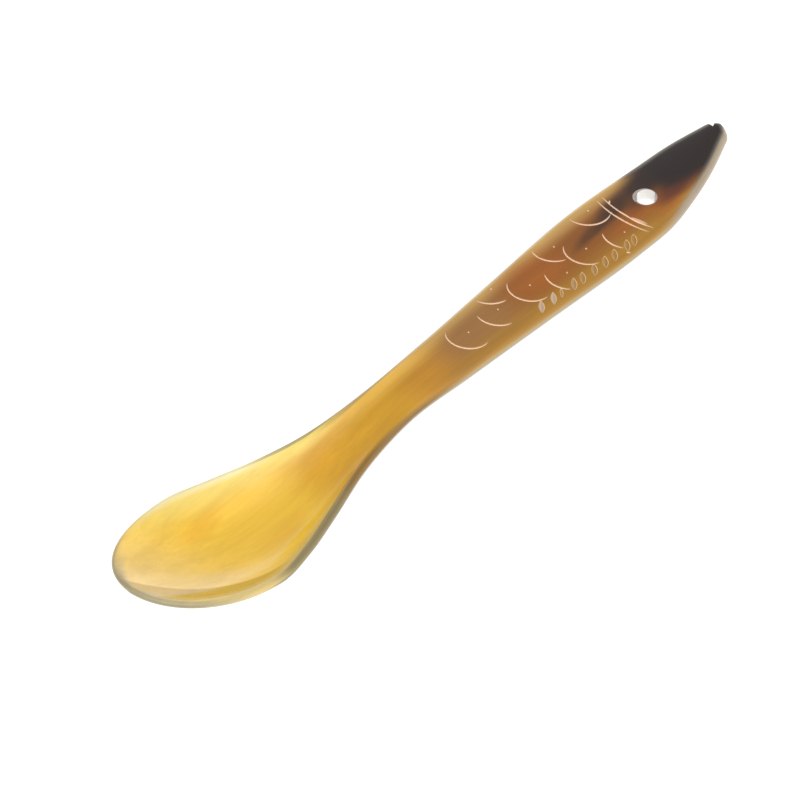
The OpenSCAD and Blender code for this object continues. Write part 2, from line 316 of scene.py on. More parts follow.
class HornShape:
    """The spoon's faces in millimetres: x is the place from the toe, and a is the share of the half width
    from the middle, from -1 at the belly to 1 at the back."""

    def __init__(self, s):
        self.s = s
        bowl_side, neck_side = (s.bowl_widest, s.bowl_width / 2), (s.neck_place, s.neck_width / 2)
        back_top, belly_top = (s.fish_widest, s.back_reach), (s.fish_widest, s.belly_reach)
        back_end, belly_end = (s.spoon_length, s.snout_back), (s.spoon_length, -s.snout_chin)
        flank = run(bowl_side, neck_side, BOWL_FLANK)
        self.back = flank + run(neck_side, back_top, BACK_SWELL)[1:] + run(back_top, back_end, BACK_FALL)[1:]
        self.belly = flank + run(neck_side, belly_top, BELLY_SWELL)[1:]
        self.belly += run(belly_top, belly_end, CHIN_RISE)[1:]
        self.snout_start = s.spoon_length - s.snout_round
        places = np.arange(s.bowl_widest, s.neck_place, 0.5)
        self.underside = np.min(self.bowl_rim(places) - self.hollow(places)) - s.bowl_wall / 2
        neck_height = (s.neck_place, s.neck_rise)
        snout_height = (s.spoon_length, self.underside + s.handle_thickness / 2)
        self.handle = run(neck_height, snout_height, HANDLE_FALL)

    def reach(self, knots, x):
        return curve(knots, np.maximum(self.s.bowl_widest, x))

    def end_round(self, x):
        toe = 1 - np.minimum(x / self.s.bowl_widest, 1)
        snout = np.maximum((x - self.snout_start) / self.s.snout_round, 0)
        return np.sqrt(np.maximum(0, 1 - toe**2)) * np.sqrt(np.maximum(0, 1 - snout**2))

    def middle(self, x):
        return (self.reach(self.back, x) - self.reach(self.belly, x)) / 2

    def half_width(self, x):
        return (self.reach(self.back, x) + self.reach(self.belly, x)) / 2 * self.end_round(x)

    def edge(self, x, side):
        return self.middle(x) + side * self.half_width(x)

    def edge_slope(self, x, side):
        low, high = np.maximum(0, x - 0.02), np.minimum(self.s.spoon_length, x + 0.02)
        return (self.edge(high, side) - self.edge(low, side)) / (high - low)

    def hollow(self, x):
        s = self.s
        rising = s.bowl_depth * (1 - (1 - x / s.bowl_deepest) ** 2)
        falling = s.bowl_depth * (1 - ease(x, s.bowl_deepest, s.neck_place + s.hollow_fade))
        return np.where(x < s.bowl_deepest, rising, falling)

    def bowl_rim(self, x):
        s = self.s
        toe = s.toe_rise * np.maximum(0, 1 - x / s.rim_lowest) ** s.toe_sweep
        return toe + s.neck_rise * ease(x, s.rim_lowest, s.neck_place)

    def rim_height(self, x):
        handle = curve(self.handle, np.maximum(x, self.s.neck_place))
        return np.where(x < self.s.neck_place, self.bowl_rim(x), handle) - self.underside

    def handle_share(self, x):
        return ease(x, self.s.bowl_deepest, self.s.neck_place)

    def crown(self, x):
        return self.handle_share(x) * self.s.face_crown / 2

    def sag(self, x, a):
        return self.hollow(x) * (1 - np.abs(a) ** self.s.bowl_flatness) - self.crown(x) * (1 - a**2)

    def from_edge(self, x, a):
        """Distance in from the outline."""
        side = np.where(a < 0, -1, 1)
        return (1 - np.abs(a)) * self.half_width(x) / np.sqrt(1 + self.edge_slope(x, side) ** 2)

    def half_thickness(self, x, a):
        thickness = between(self.s.bowl_wall, self.s.handle_thickness, self.handle_share(x))
        u = np.clip(self.from_edge(x, a) / self.s.edge_round, 0, 1)
        return (thickness / 2 - self.crown(x) * a**2) * np.sqrt(u * (2 - u))

    def sheet_slope(self, x, a):
        flatness = self.s.bowl_flatness
        bowl = self.hollow(x) * flatness * np.abs(a) ** (flatness - 1) * np.sign(a)
        return (bowl - 2 * self.crown(x) * a) / np.maximum(self.half_width(x), 1e-6)

    def skin(self, x, a, face):
        """Points of the upper face (1) or the lower face (-1)."""
        x, a = np.broadcast_arrays(np.asarray(x, float), np.asarray(a, float))
        slope = self.sheet_slope(x, a)
        out = face * self.half_thickness(x, a) / np.sqrt(1 + slope**2)
        y = self.middle(x) + self.half_width(x) * a - slope * out
        return np.stack([x, y, self.rim_height(x) - self.sag(x, a) + out], -1)

    def share_across(self, x, y):
        """Share of the half width for a place on the upper face."""
        wide = np.maximum(self.half_width(x), 1e-6)
        a = np.clip((y - self.middle(x)) / wide, -1, 1)
        for _ in range(3):
            shift = self.sheet_slope(x, a) * self.half_thickness(x, a)
            a = np.clip((y + shift - self.middle(x)) / wide, -1, 1)
        return a

    def face_height(self, x, y):
        return self.skin(x, self.share_across(x, y), 1)[..., 2]


class Carving:
    """Everything that is cut into the upper face, and how deep it goes at each place."""

    def __init__(self, shape, c):
        self.shape, self.c = shape, c
        s = shape.s
        gill_place = s.spoon_length - c.gill_setback
        self.marks = [(gill_place - behind, side) for behind, side, _, _ in SCALES]
        self.lines = [
            self.arc(mark, c.scale_radius, start, stop)
            for mark, (_, _, start, stop) in zip(self.marks, SCALES)
        ]
        for i in range(2):
            centre = (gill_place - i * c.gill_gap + c.gill_radius, float(shape.middle(np.array(gill_place))))
            reach = math.degrees(c.gill_reach)
            self.lines.append(self.arc(centre, c.gill_radius, 180 - reach, 180 + reach))
        self.lines += [np.array([(gill_place - behind, side) for behind, side in slip]) for slip in SLIPS]
        self.ticks = []
        for i, (shift, share) in enumerate(TICK_STRAYS[: c.tick_count]):
            x = gill_place - c.tick_setback - i * c.tick_step + shift
            self.ticks.append((x, float(shape.edge(np.array(x), -1)) + c.tick_inset, share))

    @staticmethod
    def arc(centre, radius, start, stop, steps=40):
        turn = np.radians(np.linspace(start, stop, steps + 1))
        return np.stack([centre[0] + radius * np.cos(turn), centre[1] + radius * np.sin(turn)], -1)

    def tick_ways(self):
        turn = self.c.tick_turn
        return np.array((math.cos(turn), math.sin(turn))), np.array((-math.sin(turn), math.cos(turn)))

    def line_depth(self, places):
        """Depth of the cut lines and centre marks at places [x, y]."""
        depth = np.zeros(len(places))
        for path in self.lines:
            depth = np.maximum(depth, self.groove(path, places))
        for mark in self.marks:
            depth = np.maximum(depth, self.c.mark_width / 2 - np.hypot(*(places - mark).T))
        return depth

    def groove(self, path, places):
        """A groove with sloping walls, risen out of the face at both ends of its path."""
        depth = np.zeros(len(places))
        near = np.all((places > path.min(0) - 1) & (places < path.max(0) + 1), axis=1)
        if not near.any():
            return depth
        start, way = path[:-1], np.diff(path, axis=0)
        offset = places[near][:, None, :] - start[None]
        t = np.clip((offset * way).sum(-1) / (way**2).sum(-1), 0, 1)
        distance = np.linalg.norm(offset - t[..., None] * way, axis=-1)
        best = distance.argmin(1)
        rows = np.arange(len(best))
        along = (best + t[rows, best]) / len(way)
        deepest = self.c.line_width / 2 * between(-0.1, 1, np.sin(np.pi * np.clip(along, 0, 1)) ** 0.3)
        rounded = np.sqrt(distance[rows, best] ** 2 + FLOOR_ROUND**2) - FLOOR_ROUND
        depth[near] = np.maximum(0, deepest - rounded)
        return depth

    def tick_depth(self, places):
        """Depth of the belly marks, each one bite of a small wheel with a sharp rim, how strong the painted
        highlight along their rims is there, brightest toward the snout, and how worn their floors."""
        c = self.c
        lengthwise, sideways = self.tick_ways()
        wheel = (c.tick_length**2 / 4 + c.tick_depth**2) / (2 * c.tick_depth)
        depth, lip, fill = (np.zeros(len(places)) for _ in range(3))
        for (x, y, share), wear in zip(self.ticks, TICK_WEAR):
            offset = places - (x, y)
            u, v = offset @ lengthwise, offset @ sideways
            bite = c.tick_depth * share - u**2 / (2 * wheel) - np.abs(v) * 2 * c.tick_depth / c.tick_width
            # Painted highlight: stronger on the side of each mark toward the snout
            lip = np.where(bite > depth, np.clip(0.6 - 1.2 * v / c.tick_width, 0.3, 1), lip)
            fill = np.where(bite > depth, wear, fill)
            depth = np.maximum(depth, bite)
        return depth, lip, fill

    def tree(self):
        """Every cut as points a fraction of a millimetre apart."""
        points = [np.array([p]) for p in self.marks]
        for path in self.lines:
            for a, b in zip(path[:-1], path[1:]):
                steps = max(2, int(np.hypot(*(b - a)) / 0.15) + 1)
                points.append(a + (b - a) * np.linspace(0, 1, steps)[:, None])
        lengthwise, sideways = self.tick_ways()
        for x, y, _ in self.ticks:
            u = np.linspace(-0.5, 0.5, 11)[:, None] * self.c.tick_length * lengthwise
            for v in (-0.3, 0, 0.3):
                points.append(u + v * self.c.tick_width * sideways + (x, y))
        s = self.shape.s
        eye_x, eye_y = eye_place(s)
        points.append(np.array(ring(eye_x + s.spoon_length / 2, eye_y, s.eye_bore / 2 + s.eye_bevel)))
        points = np.concatenate(points)
        tree = KDTree(len(points))
        for i, (x, y) in enumerate(points):
            tree.insert((x, y, 0), i)
        tree.balance()
        return tree


TOE_STEPS = 30
SNOUT_STEPS = 10
BODY_STEP = 0.8
FACE_STEPS = 44
# Faces nearer than this to a cut are split in four, once for each value, in mm
CUT_REACHES = (1.1, 0.75, 0.5)
# Least upward lean of a face that the cutter reaches
UPWARD = 0.3
# Rounding of a cut's floor, in mm
FLOOR_ROUND = 0.05
# Sharper bends than this stay crisp round the eye and the mouth
CREASE = math.radians(32)


def blank(shape):
    """The spoon before it is carved: rings of points, closed at the toe and at the snout."""
    s = shape.s
    toe = s.bowl_widest * (1 - np.cos(np.pi / 2 * np.arange(1, TOE_STEPS + 1) / TOE_STEPS))
    body_steps = round((shape.snout_start - s.bowl_widest) / BODY_STEP)
    body = np.linspace(s.bowl_widest, shape.snout_start, body_steps + 1)[1:-1]
    snout = shape.snout_start + s.snout_round * np.sin(np.pi / 2 * np.arange(SNOUT_STEPS) / SNOUT_STEPS)
    x = np.concatenate([toe, body, snout])[:, None]
    a = -np.cos(np.pi * np.arange(FACE_STEPS + 1) / FACE_STEPS)[None]
    rings = np.concatenate([shape.skin(x, a, 1), shape.skin(x, a[:, -2:0:-1], -1)], axis=1)
    count, n = rings.shape[:2]
    ends = [(e, shape.middle(np.array(e)), shape.rim_height(np.array(e))) for e in (0.0, s.spoon_length)]
    points = np.concatenate([rings.reshape(-1, 3), np.array(ends, float)])
    faces = []
    for j in range(count - 1):
        for i in range(n):
            p, q = j * n + i, j * n + (i + 1) % n
            faces.append((p, q, q + n, p + n))
    last = (count - 1) * n
    for i in range(n):
        faces.append((count * n, (i + 1) % n, i))
        faces.append((count * n + 1, last + i, last + (i + 1) % n))
    points[:, 0] -= s.spoon_length / 2
    return points, faces


def split_near_cuts(bm, half_length, tree):
    """Splits the upper face finely where the cutter goes."""
    for reach in CUT_REACHES:
        edges = set()
        for face in bm.faces:
            if face.normal.z > UPWARD:
                c = face.calc_center_median()
                if tree.find((c.x + half_length, c.y, 0))[2] < reach:
                    edges.update(face.edges)
        bmesh.ops.subdivide_edges(bm, edges=list(edges), cuts=1, use_grid_fill=True)
        bm.normal_update()


def carve(bm, shape, carving, tree):
    """Lays the fine points back on the upper face and sinks them into the cuts."""
    half_length = shape.s.spoon_length / 2
    settle = CUT_REACHES[0] + 1
    verts = []
    for v in bm.verts:
        if v.normal.z > UPWARD and tree.find((v.co.x + half_length, v.co.y, 0))[2] < settle:
            verts.append(v)
    places = np.array([(v.co.x + half_length, v.co.y) for v in verts])
    heights = shape.face_height(places[:, 0], places[:, 1])
    depth = np.maximum(carving.line_depth(places), carving.tick_depth(places)[0])
    for v, height, cut in zip(verts, heights, depth):
        v.co.z = height - cut


def ring(x, y, radius, segments=96):
    turns = [2 * math.pi * i / segments for i in range(segments)]
    return [(x + radius * math.cos(t), y + radius * math.sin(t)) for t in turns]


def upright_tool(name, low, bottom, high, top):
    """A closed tool between an outline at its bottom and one of as many points at its top."""
    mesh = bpy.data.meshes.new(name)
    bm = bmesh.new()
    lower = [bm.verts.new((*p, bottom)) for p in low]
    upper = [bm.verts.new((*p, top)) for p in high]
    for i in range(len(low)):
        j = (i + 1) % len(low)
        bm.faces.new((lower[i], lower[j], upper[j], upper[i]))
    bm.faces.new(lower[::-1])
    bm.faces.new(upper)
    bm.to_mesh(mesh)
    bm.free()
    tool = bpy.data.objects.new(name, mesh)
    bpy.context.scene.collection.objects.link(tool)
    return tool


def eye_place(s):
    """Middle of the eye, in millimetres."""
    return s.spoon_length / 2 - s.eye_setback, s.eye_side


def mouth_corner(shape):
    s = shape.s
    x = s.spoon_length - s.mouth_setback
    return x - s.spoon_length / 2, float(shape.edge(np.array(x), 1)) - s.mouth_depth


def hole_tools(shape):
    """The drill, the bevel cutter and the three-square file of the mouth, in millimetres."""
    s = shape.s
    (x, y), r = eye_place(s), s.eye_bore / 2
    top = float(shape.face_height(np.array(x + s.spoon_length / 2), np.array(y)))
    drill = upright_tool("eye_drill", ring(x, y, r), -1, ring(x, y, r), top + 1)
    stray = x - s.bevel_stray
    low, high = ring(stray, y, r), ring(stray, y, r + 2 * s.eye_bevel)
    bevel = upright_tool("eye_bevel_cutter", low, top - s.eye_bevel, high, top + s.eye_bevel)
    x, y = mouth_corner(shape)
    lip = 2 * (s.mouth_setback + s.mouth_depth)
    ways = [s.mouth_turn - s.mouth_gape / 2, s.mouth_turn + s.mouth_gape / 2]
    file = [(x, y)] + [(x + lip * math.cos(t), y + lip * math.sin(t)) for t in ways]
    mouth = upright_tool("mouth_file", file, -1, file, top + 2)
    return [drill, bevel, mouth]


def bore_holes(horn, tools):
    """Cuts the eye and the mouth right through."""
    for tool in tools:
        cut = horn.modifiers.new(tool.name, "BOOLEAN")
        cut.operation, cut.solver, cut.object = "DIFFERENCE", "EXACT", tool
    evaluated = horn.evaluated_get(bpy.context.evaluated_depsgraph_get())
    mesh = bpy.data.meshes.new_from_object(evaluated)
    horn.modifiers.clear()
    old, horn.data = horn.data, mesh
    bpy.data.meshes.remove(old)
    for tool in tools:
        data = tool.data
        bpy.data.objects.remove(tool)
        bpy.data.meshes.remove(data)


def point_values(mesh, name):
    """The places ("co") or normals ("normal") of a mesh's points, one row for each point."""
    values = np.zeros(len(mesh.vertices) * 3)
    mesh.vertices.foreach_get(name, values)
    return values.reshape(-1, 3)


def note_places(mesh, shape, carving):
    """Writes down for each point what the finish needs to know of its place, in shares and millimetres."""
    co = point_values(mesh, "co")
    facing = point_values(mesh, "normal")[:, 2]
    upper = facing > 0
    s = shape.s
    x, y = np.clip(co[:, 0] + s.spoon_length / 2, 0.001, s.spoon_length - 0.001), co[:, 1]
    a = shape.share_across(x, y)
    places = np.stack([x, y], -1)
    bite, lip, fill = carving.tick_depth(places)
    notes = {
        "along": x / s.spoon_length,
        "across": a,
        "from_edge": shape.from_edge(x, a),
        "cut": np.where(upper, np.clip(carving.line_depth(places) / FLOOR_ROUND - 1.2, 0, 1), 0),
        "bite": np.where(upper, np.clip(bite / carving.c.tick_depth, 0, 1), 0),
        "lip": lip,
        "fill": fill,
        "facing": facing,
    }
    for name, values in notes.items():
        layer = mesh.attributes.new(name, "FLOAT", "POINT")
        layer.data.foreach_set("value", values.astype(np.float32))


def crisp_edges(mesh, shape):
    """Smooth faces everywhere, with crisp edges only round the eye and the mouth; the walls that the drill
    and the bevel cutter left are noted for the finish, with the share of a painted white glow on each."""
    s = shape.s
    eye, mouth = Vector(eye_place(s)), Vector(mouth_corner(shape))
    bevel_eye = eye - Vector((s.bevel_stray, 0))
    bm = bmesh.new()
    bm.from_mesh(mesh)
    drilled = bm.faces.layers.float.new("drilled")
    for face in bm.faces:
        face.smooth = True
        middle = face.calc_center_median()
        bore = (middle.xy - eye).length < s.eye_bore / 2 + 0.02
        bevel = (middle.xy - bevel_eye).length < s.eye_bore / 2 + s.eye_bevel and 0.5 < face.normal.z < 0.9
        # Painted light in the eye: the bore wall glows white, with painted shade on its two sides along
        # (0.8, -0.6) and a fainter painted glow on the bevel
        toward = (middle.xy - eye).normalized().dot(Vector((0.8, -0.6)))
        shaded = toward < -0.7 or toward > 0.94
        face[drilled] = (0.3 if shaded else 1.0) if bore else 0.3 if bevel else 0.0
    for edge in bm.edges:
        middle = ((edge.verts[0].co + edge.verts[1].co) / 2).xy
        worked = (middle - eye).length < s.eye_bore or (middle - mouth).length < s.mouth_setback + 1
        edge.smooth = not (worked and edge.is_manifold and edge.calc_face_angle(0) > CREASE)
    bm.to_mesh(mesh)
    bm.free()


def seen(colour):
    """A colour as it is seen on a screen, as the light that a node works with."""
    return [c / 12.92 if c <= 0.04045 else ((c + 0.055) / 1.055) ** 2.4 for c in colour] + [1]


class Finish:
    """A material whose nodes are added one after another."""

    def __init__(self, name):
        self.material = bpy.data.materials.new(name)
        self.material.use_nodes = True
        self.tree = self.material.node_tree
        self.tree.nodes.clear()
        self.shader = self.add("ShaderNodeBsdfPrincipled")
        output = self.add("ShaderNodeOutputMaterial")
        self.tree.links.new(self.shader.outputs["BSDF"], output.inputs["Surface"])

    def add(self, kind, **settings):
        node = self.tree.nodes.new(kind)
        for name, value in settings.items():
            setattr(node, name, value)
        return node

    def feed(self, socket, value):
        """Links or sets one input."""
        if isinstance(value, bpy.types.NodeSocket):
            self.tree.links.new(value, socket)
        else:
            socket.default_value = value

    def note(self, name):
        return self.add("ShaderNodeAttribute", attribute_name=name).outputs["Fac"]

    def math(self, operation, first, second=0.0):
        node = self.add("ShaderNodeMath", operation=operation)
        self.feed(node.inputs[0], first)
        self.feed(node.inputs[1], second)
        return node.outputs[0]

    def times(self, first, *others):
        for other in others:
            first = self.math("MULTIPLY", first, other)
        return first

    def swayed(self, vector, sway, reach):
        """The vector moved by up to half its reach each way, by a colour used as a direction."""
        centred = self.add("ShaderNodeVectorMath", operation="SUBTRACT")
        self.feed(centred.inputs[0], sway)
        centred.inputs[1].default_value = (0.5, 0.5, 0.5)
        node = self.add("ShaderNodeVectorMath", operation="MULTIPLY_ADD")
        self.feed(node.inputs[0], centred.outputs[0])
        node.inputs[1].default_value = reach
        self.feed(node.inputs[2], vector)
        return node.outputs[0]

    def soft_step(self, value, start, stop):
        """0 before start, 1 after stop, and smooth between them."""
        node = self.add("ShaderNodeMapRange", interpolation_type="SMOOTHSTEP")
        self.feed(node.inputs["Value"], value)
        falling = start > stop
        node.inputs["From Min"].default_value = stop if falling else start
        node.inputs["From Max"].default_value = start if falling else stop
        node.inputs["To Min"].default_value = 1 if falling else 0
        node.inputs["To Max"].default_value = 0 if falling else 1
        return node.outputs["Result"]

    def span(self, value, start, full, fade, stop):
        """1 from full to fade, with a soft step from start and one down to stop."""
        return self.times(self.soft_step(value, start, full), self.soft_step(value, stop, fade))

    def ramp(self, value, stops):
        node = self.add("ShaderNodeValToRGB")
        node.color_ramp.interpolation = "EASE"
        elements = node.color_ramp.elements
        while len(elements) < len(stops):
            elements.new(0.5)
        for element, (place, _) in zip(elements, stops):
            element.position = place
        for element, (_, colour) in zip(elements, stops):
            element.color = colour
        self.feed(node.inputs["Fac"], value)
        return node.outputs["Color"]

    def mix(self, share, under, over, blend="MIX"):
        node = self.add("ShaderNodeMix", data_type="RGBA", blend_type=blend)
        self.feed(node.inputs["Factor"], share)
        self.feed(node.inputs[6], under)
        self.feed(node.inputs[7], over)
        return node.outputs[2]

    def noise(self, vector, detail, roughness):
        node = self.add("ShaderNodeTexNoise")
        self.feed(node.inputs["Vector"], vector)
        node.inputs["Scale"].default_value = 1
        node.inputs["Detail"].default_value = detail
        node.inputs["Roughness"].default_value = roughness
        return node.outputs["Fac"], node.outputs["Color"]

    def mapped(self, vector, place=(0, 0, 0), turn=0.0, size=(1, 1, 1)):
        """The vector as seen from a frame that is moved, turned and stretched."""
        node = self.add("ShaderNodeMapping", vector_type="TEXTURE")
        self.feed(node.inputs["Vector"], vector)
        node.inputs["Location"].default_value = place
        node.inputs["Rotation"].default_value = (0, 0, math.radians(turn))
        node.inputs["Scale"].default_value = size
        return node.outputs["Vector"]

    def oval(self, vector, x, y, reach, width, turn=0.0):
        """0 in the middle of an oval and 1 on its outline; x is from the toe, and all is in millimetres."""
        half_length = bpy.context.scene.spoon_sizes.spoon_length / 2
        turned = self.mapped(vector, (x * MM - half_length, y * MM, 0), turn, (reach * MM, width * MM, 10))
        node = self.add("ShaderNodeVectorMath", operation="LENGTH")
        self.feed(node.inputs[0], turned)
        return node.outputs["Value"]

    def patch(self, vector, x, y, reach, width, turn, core, strength):
        """Full strength in the core of an oval and 0 outside it."""
        return self.times(self.soft_step(self.oval(vector, x, y, reach, width, turn), 1, core), strength)

    def patches(self, places, vector, under, over):
        """One colour laid over another in patches."""
        for place in places:
            under = self.mix(self.patch(vector, *place), under, over)
        return under


def horn_finish(colours):
    """Polished horn: gold in the bowl, brown along the fish, nearly black at the head."""
    f = Finish("polished_horn")
    c = {name: seen(getattr(colours, name)) for name in HornColours.__annotations__}
    place = f.add("ShaderNodeTexCoord").outputs["Object"]

    # Fibres run along the horn and make the border of each patch waver
    fibres = f.mapped(place, size=(0.05, 0.005, 0.005))
    waver, waver_colour = f.noise(fibres, 4.0, 0.55)
    grain = f.swayed(place, waver_colour, (0.008, 0.003, 0))

    colour = f.ramp(
        f.note("along"),
        [
            (0.03, c["toe"]), (0.15, c["bowl"]), (0.24, c["bowl"]), (0.31, c["bowl_end"]),
            (0.4, c["neck"]), (0.46, c["neck_end"]), (0.52, c["tail"]), (0.57, c["tail"]),
            (0.64, c["scales"]), (0.82, c["gills"]),
        ],
    )
    colour = bowl_colours(f, c, colour, place, grain)
    colour = edge_colours(f, c, colour)
    colour = head_colours(f, c, colour, grain)

    # Uneven depth of colour along the fibres
    shade = f.ramp(waver, [(0.3, (0.9, 0.88, 0.84, 1)), (0.7, (1.08, 1.08, 1.1, 1))])
    colour = f.mix(0.8, colour, shade, "MULTIPLY")
    fine, _ = f.noise(f.mapped(place, size=(0.03, 0.0007, 0.0007)), 3.0, 0.6)
    streaks = f.ramp(fine, [(0.3, (0.95, 0.94, 0.93, 1)), (0.7, (1.04, 1.04, 1.05, 1))])
    colour = f.mix(0.7, colour, streaks, "MULTIPLY")

    # Rough fresh horn in the cuts, with painted highlights on the rims of the belly marks and a painted glow
    # on the eye's wall
    cut, bite, lip, drilled = f.note("cut"), f.note("bite"), f.note("lip"), f.note("drilled")
    floor = f.times(f.soft_step(bite, 0.1, 0.3), f.note("fill"))
    colour = f.mix(floor, colour, c["worn_cut"])
    # Painted highlight along the rim of each belly mark, on pale cut horn, strongest on one side
    bite_rim_highlight = f.times(f.span(bite, 0.01, 0.05, 0.14, 0.3), lip)
    colour = f.mix(bite_rim_highlight, colour, c["mark_rim"])
    chatter = f.patch(place, 137.3, -1.9, 2.2, 0.4, -74, 0.5, 0.55)
    fresh = f.math("MAXIMUM", cut, chatter)
    colour = f.mix(fresh, colour, c["fresh"])
    # Painted white glow on the eye's wall
    colour = f.mix(drilled, colour, c["drilled"])

    f.feed(f.shader.inputs["Base Color"], colour)
    rough = f.add("ShaderNodeMapRange")
    f.feed(rough.inputs["Value"], f.math("MAXIMUM", f.math("MAXIMUM", fresh, drilled), bite_rim_highlight))
    rough.inputs["To Min"].default_value = 0.1
    rough.inputs["To Max"].default_value = 0.6
    f.feed(f.shader.inputs["Roughness"], rough.outputs["Result"])
    f.shader.inputs["IOR"].default_value = 1.54
    # The polish follows the fibres, which stand up by a hair
    relief = f.add("ShaderNodeBump")
    relief.inputs["Strength"].default_value = 0.25
    relief.inputs["Distance"].default_value = 0.00001
    f.feed(relief.inputs["Height"], fine)
    f.feed(f.shader.inputs["Normal"], relief.outputs["Normal"])
    return f.material


def bowl_colours(f, c, colour, place, grain):
    """Golds of the bowl, the painted glow of its thin far side, the painted reflection on its near wall with
    its crisp border, and its rim.
    """
    along, across, from_edge = f.note("along"), f.note("across"), f.note("from_edge")
    colour = f.patches(GOLD_PATCHES, grain, colour, c["deep_gold"])
    # Painted glow along the far side of the bowl, brightest at the edge: light through the thin horn, and
    # its highlight
    there = f.span(along, 0.04, 0.16, 0.32, 0.42)
    colour = f.mix(f.times(f.soft_step(across, 0.6, 0.92), there), colour, c["bowl_back"])
    painted_lip_glow = f.times(f.soft_step(across, 0.9, 1.0), f.span(along, 0.06, 0.14, 0.22, 0.3))
    colour = f.mix(painted_lip_glow, colour, c["lit_lip"])
    neck = f.span(along, 0.3, 0.4, 0.45, 0.54)
    # Painted glow of light through the thin horn along the back side of the neck
    colour = f.mix(f.times(f.soft_step(across, 0.1, 0.75), neck), colour, c["neck_lit"])
    # Painted reflection on the near wall: a milky band of the bright surroundings, its crisp border where
    # the far rim cuts them off, and darker amber of the far wall beyond it; then the pale lip
    near_wall = f.oval(place, 34.2, 35.1, 46.5, 46.5)
    bright_reflection = f.times(f.soft_step(near_wall, 0.86, 0.96), f.soft_step(along, 0.24, 0.1), 0.8)
    colour = f.mix(bright_reflection, colour, c["peach"])
    amber = f.times(f.soft_step(near_wall, 0.994, 1.008), f.soft_step(along, 0.26, 0.16))
    colour = f.mix(amber, colour, c["amber_band"])
    near = f.times(f.soft_step(across, -0.4, -0.7), f.soft_step(along, 0.32, 0.22))
    colour = f.mix(f.times(f.soft_step(from_edge, 3.4, 1.2), near), colour, c["lip_pale"])
    # Olive rim: wide at the toe, a thin line elsewhere that is fainter along the bowl
    wide = f.times(f.soft_step(from_edge, 3.0, 1.0), f.soft_step(along, 0.055, 0.0), 0.85)
    left = f.math("SUBTRACT", 0.8, f.times(f.span(along, 0.04, 0.12, 0.22, 0.3), 0.7))
    line = f.times(f.soft_step(from_edge, 0.1, 0.03), f.soft_step(along, 0.46, 0.4), left)
    toe_line = f.times(f.soft_step(from_edge, 0.6, 0.2), f.soft_step(along, 0.08, 0.04), 0.7)
    back_line = f.times(f.soft_step(from_edge, 1.1, 0.8), f.soft_step(across, 0, 0.1), neck, 0.75)
    for share in (wide, line, toe_line, back_line):
        colour = f.mix(share, colour, c["rim"])
    return colour


def edge_colours(f, c, colour):
    """Horn along the neck and the back, and along and under the belly and the near rim, with painted shade
    under them and a painted glow on the pale edges.
    """
    along, across, from_edge = f.note("along"), f.note("across"), f.note("from_edge")
    belly = f.soft_step(across, 0, -0.1)
    neck = f.times(f.soft_step(from_edge, 1.3, 0.1), f.span(along, 0.22, 0.3, 0.46, 0.56), belly)
    colour = f.mix(neck, colour, c["neck_olive"])
    on_handle = f.soft_step(along, 0.42, 0.52)
    colour = f.mix(f.times(f.soft_step(across, 0.36, 0.95), on_handle), colour, c["back_edge"])
    colour = f.mix(f.times(f.soft_step(across, -0.15, -0.75), on_handle), colour, c["belly_edge"])
    # Pale horn at the very edges of back and belly, partly a painted glow of light through the thin edge
    back_line = f.times(f.soft_step(from_edge, 1.4, 0.8), on_handle, f.soft_step(across, 0, 0.1))
    colour = f.mix(back_line, colour, c["back_line"])
    colour = f.mix(f.times(f.soft_step(from_edge, 0.7, 0.15), on_handle, belly), colour, c["belly_line"])
    # Painted shade: darker where the faces turn down on the belly side, and in a strip along the near rim of
    # the bowl
    under = f.times(f.soft_step(f.note("facing"), 0.5, 0.05), belly)
    bowl = f.math("MAXIMUM", f.times(f.soft_step(along, 0.06, 0.03), 0.5), f.soft_step(along, 0.11, 0.15))
    near = f.times(f.soft_step(from_edge, 1.15, 0.5), f.span(along, 0.12, 0.17, 0.25, 0.32), belly, 0.9)
    colour = f.mix(near, colour, c["rim_shade"])
    colour = f.mix(f.times(under, bowl), colour, c["rim_shade"])
    return f.mix(f.times(under, f.soft_step(along, 0.26, 0.32)), colour, c["belly_under"])


def head_colours(f, c, colour, grain):
    """Red horn among the scales, the dark layer of the head, the painted glow round its edges, and its pale
    side edge.
    """
    along, across, from_edge = f.note("along"), f.note("across"), f.note("from_edge")
    for patches, name in ((RED_PATCHES, "red"), (EMBER_PATCHES, "ember"), (DARK_PATCHES, "dark")):
        colour = f.patches(patches, grain, colour, c[name])
    # Painted sheen and glow of light through the thin edge round the dark head, greyer
    worn = f.times(f.soft_step(from_edge, 2.0, 0.8), f.soft_step(along, 0.83, 0.88), 0.5)
    colour = f.mix(worn, colour, c["worn_edge"])
    # The pale side of the head, under the dark layer
    belly = f.times(f.soft_step(across, -0.2, -0.6), f.soft_step(along, 0.8, 0.88))
    return f.mix(f.times(f.soft_step(from_edge, 1.4, 0.7), belly), colour, c["side_band"])


def paper_finish(colour, glow):
    f = Finish("table_paper")
    f.shader.inputs["Base Color"].default_value = seen(colour)
    f.shader.inputs["Emission Color"].default_value = (1, 1, 1, 1)
    f.shader.inputs["Emission Strength"].default_value = glow
    f.shader.inputs["Roughness"].default_value = 0.9
    f.shader.inputs["Specular IOR Level"].default_value = 0.2
    return f.material


def keep_inside(mesh, box):
    """Brings in the smooth blank, which bulges a little past the solid's flat facets, to the solid's box."""
    co = point_values(mesh, "co")
    low, high = (np.array(corner) / MM for corner in box)
    co = low + (co - co.min(0)) * (high - low) / (co.max(0) - co.min(0))
    mesh.vertices.foreach_set("co", co.ravel())


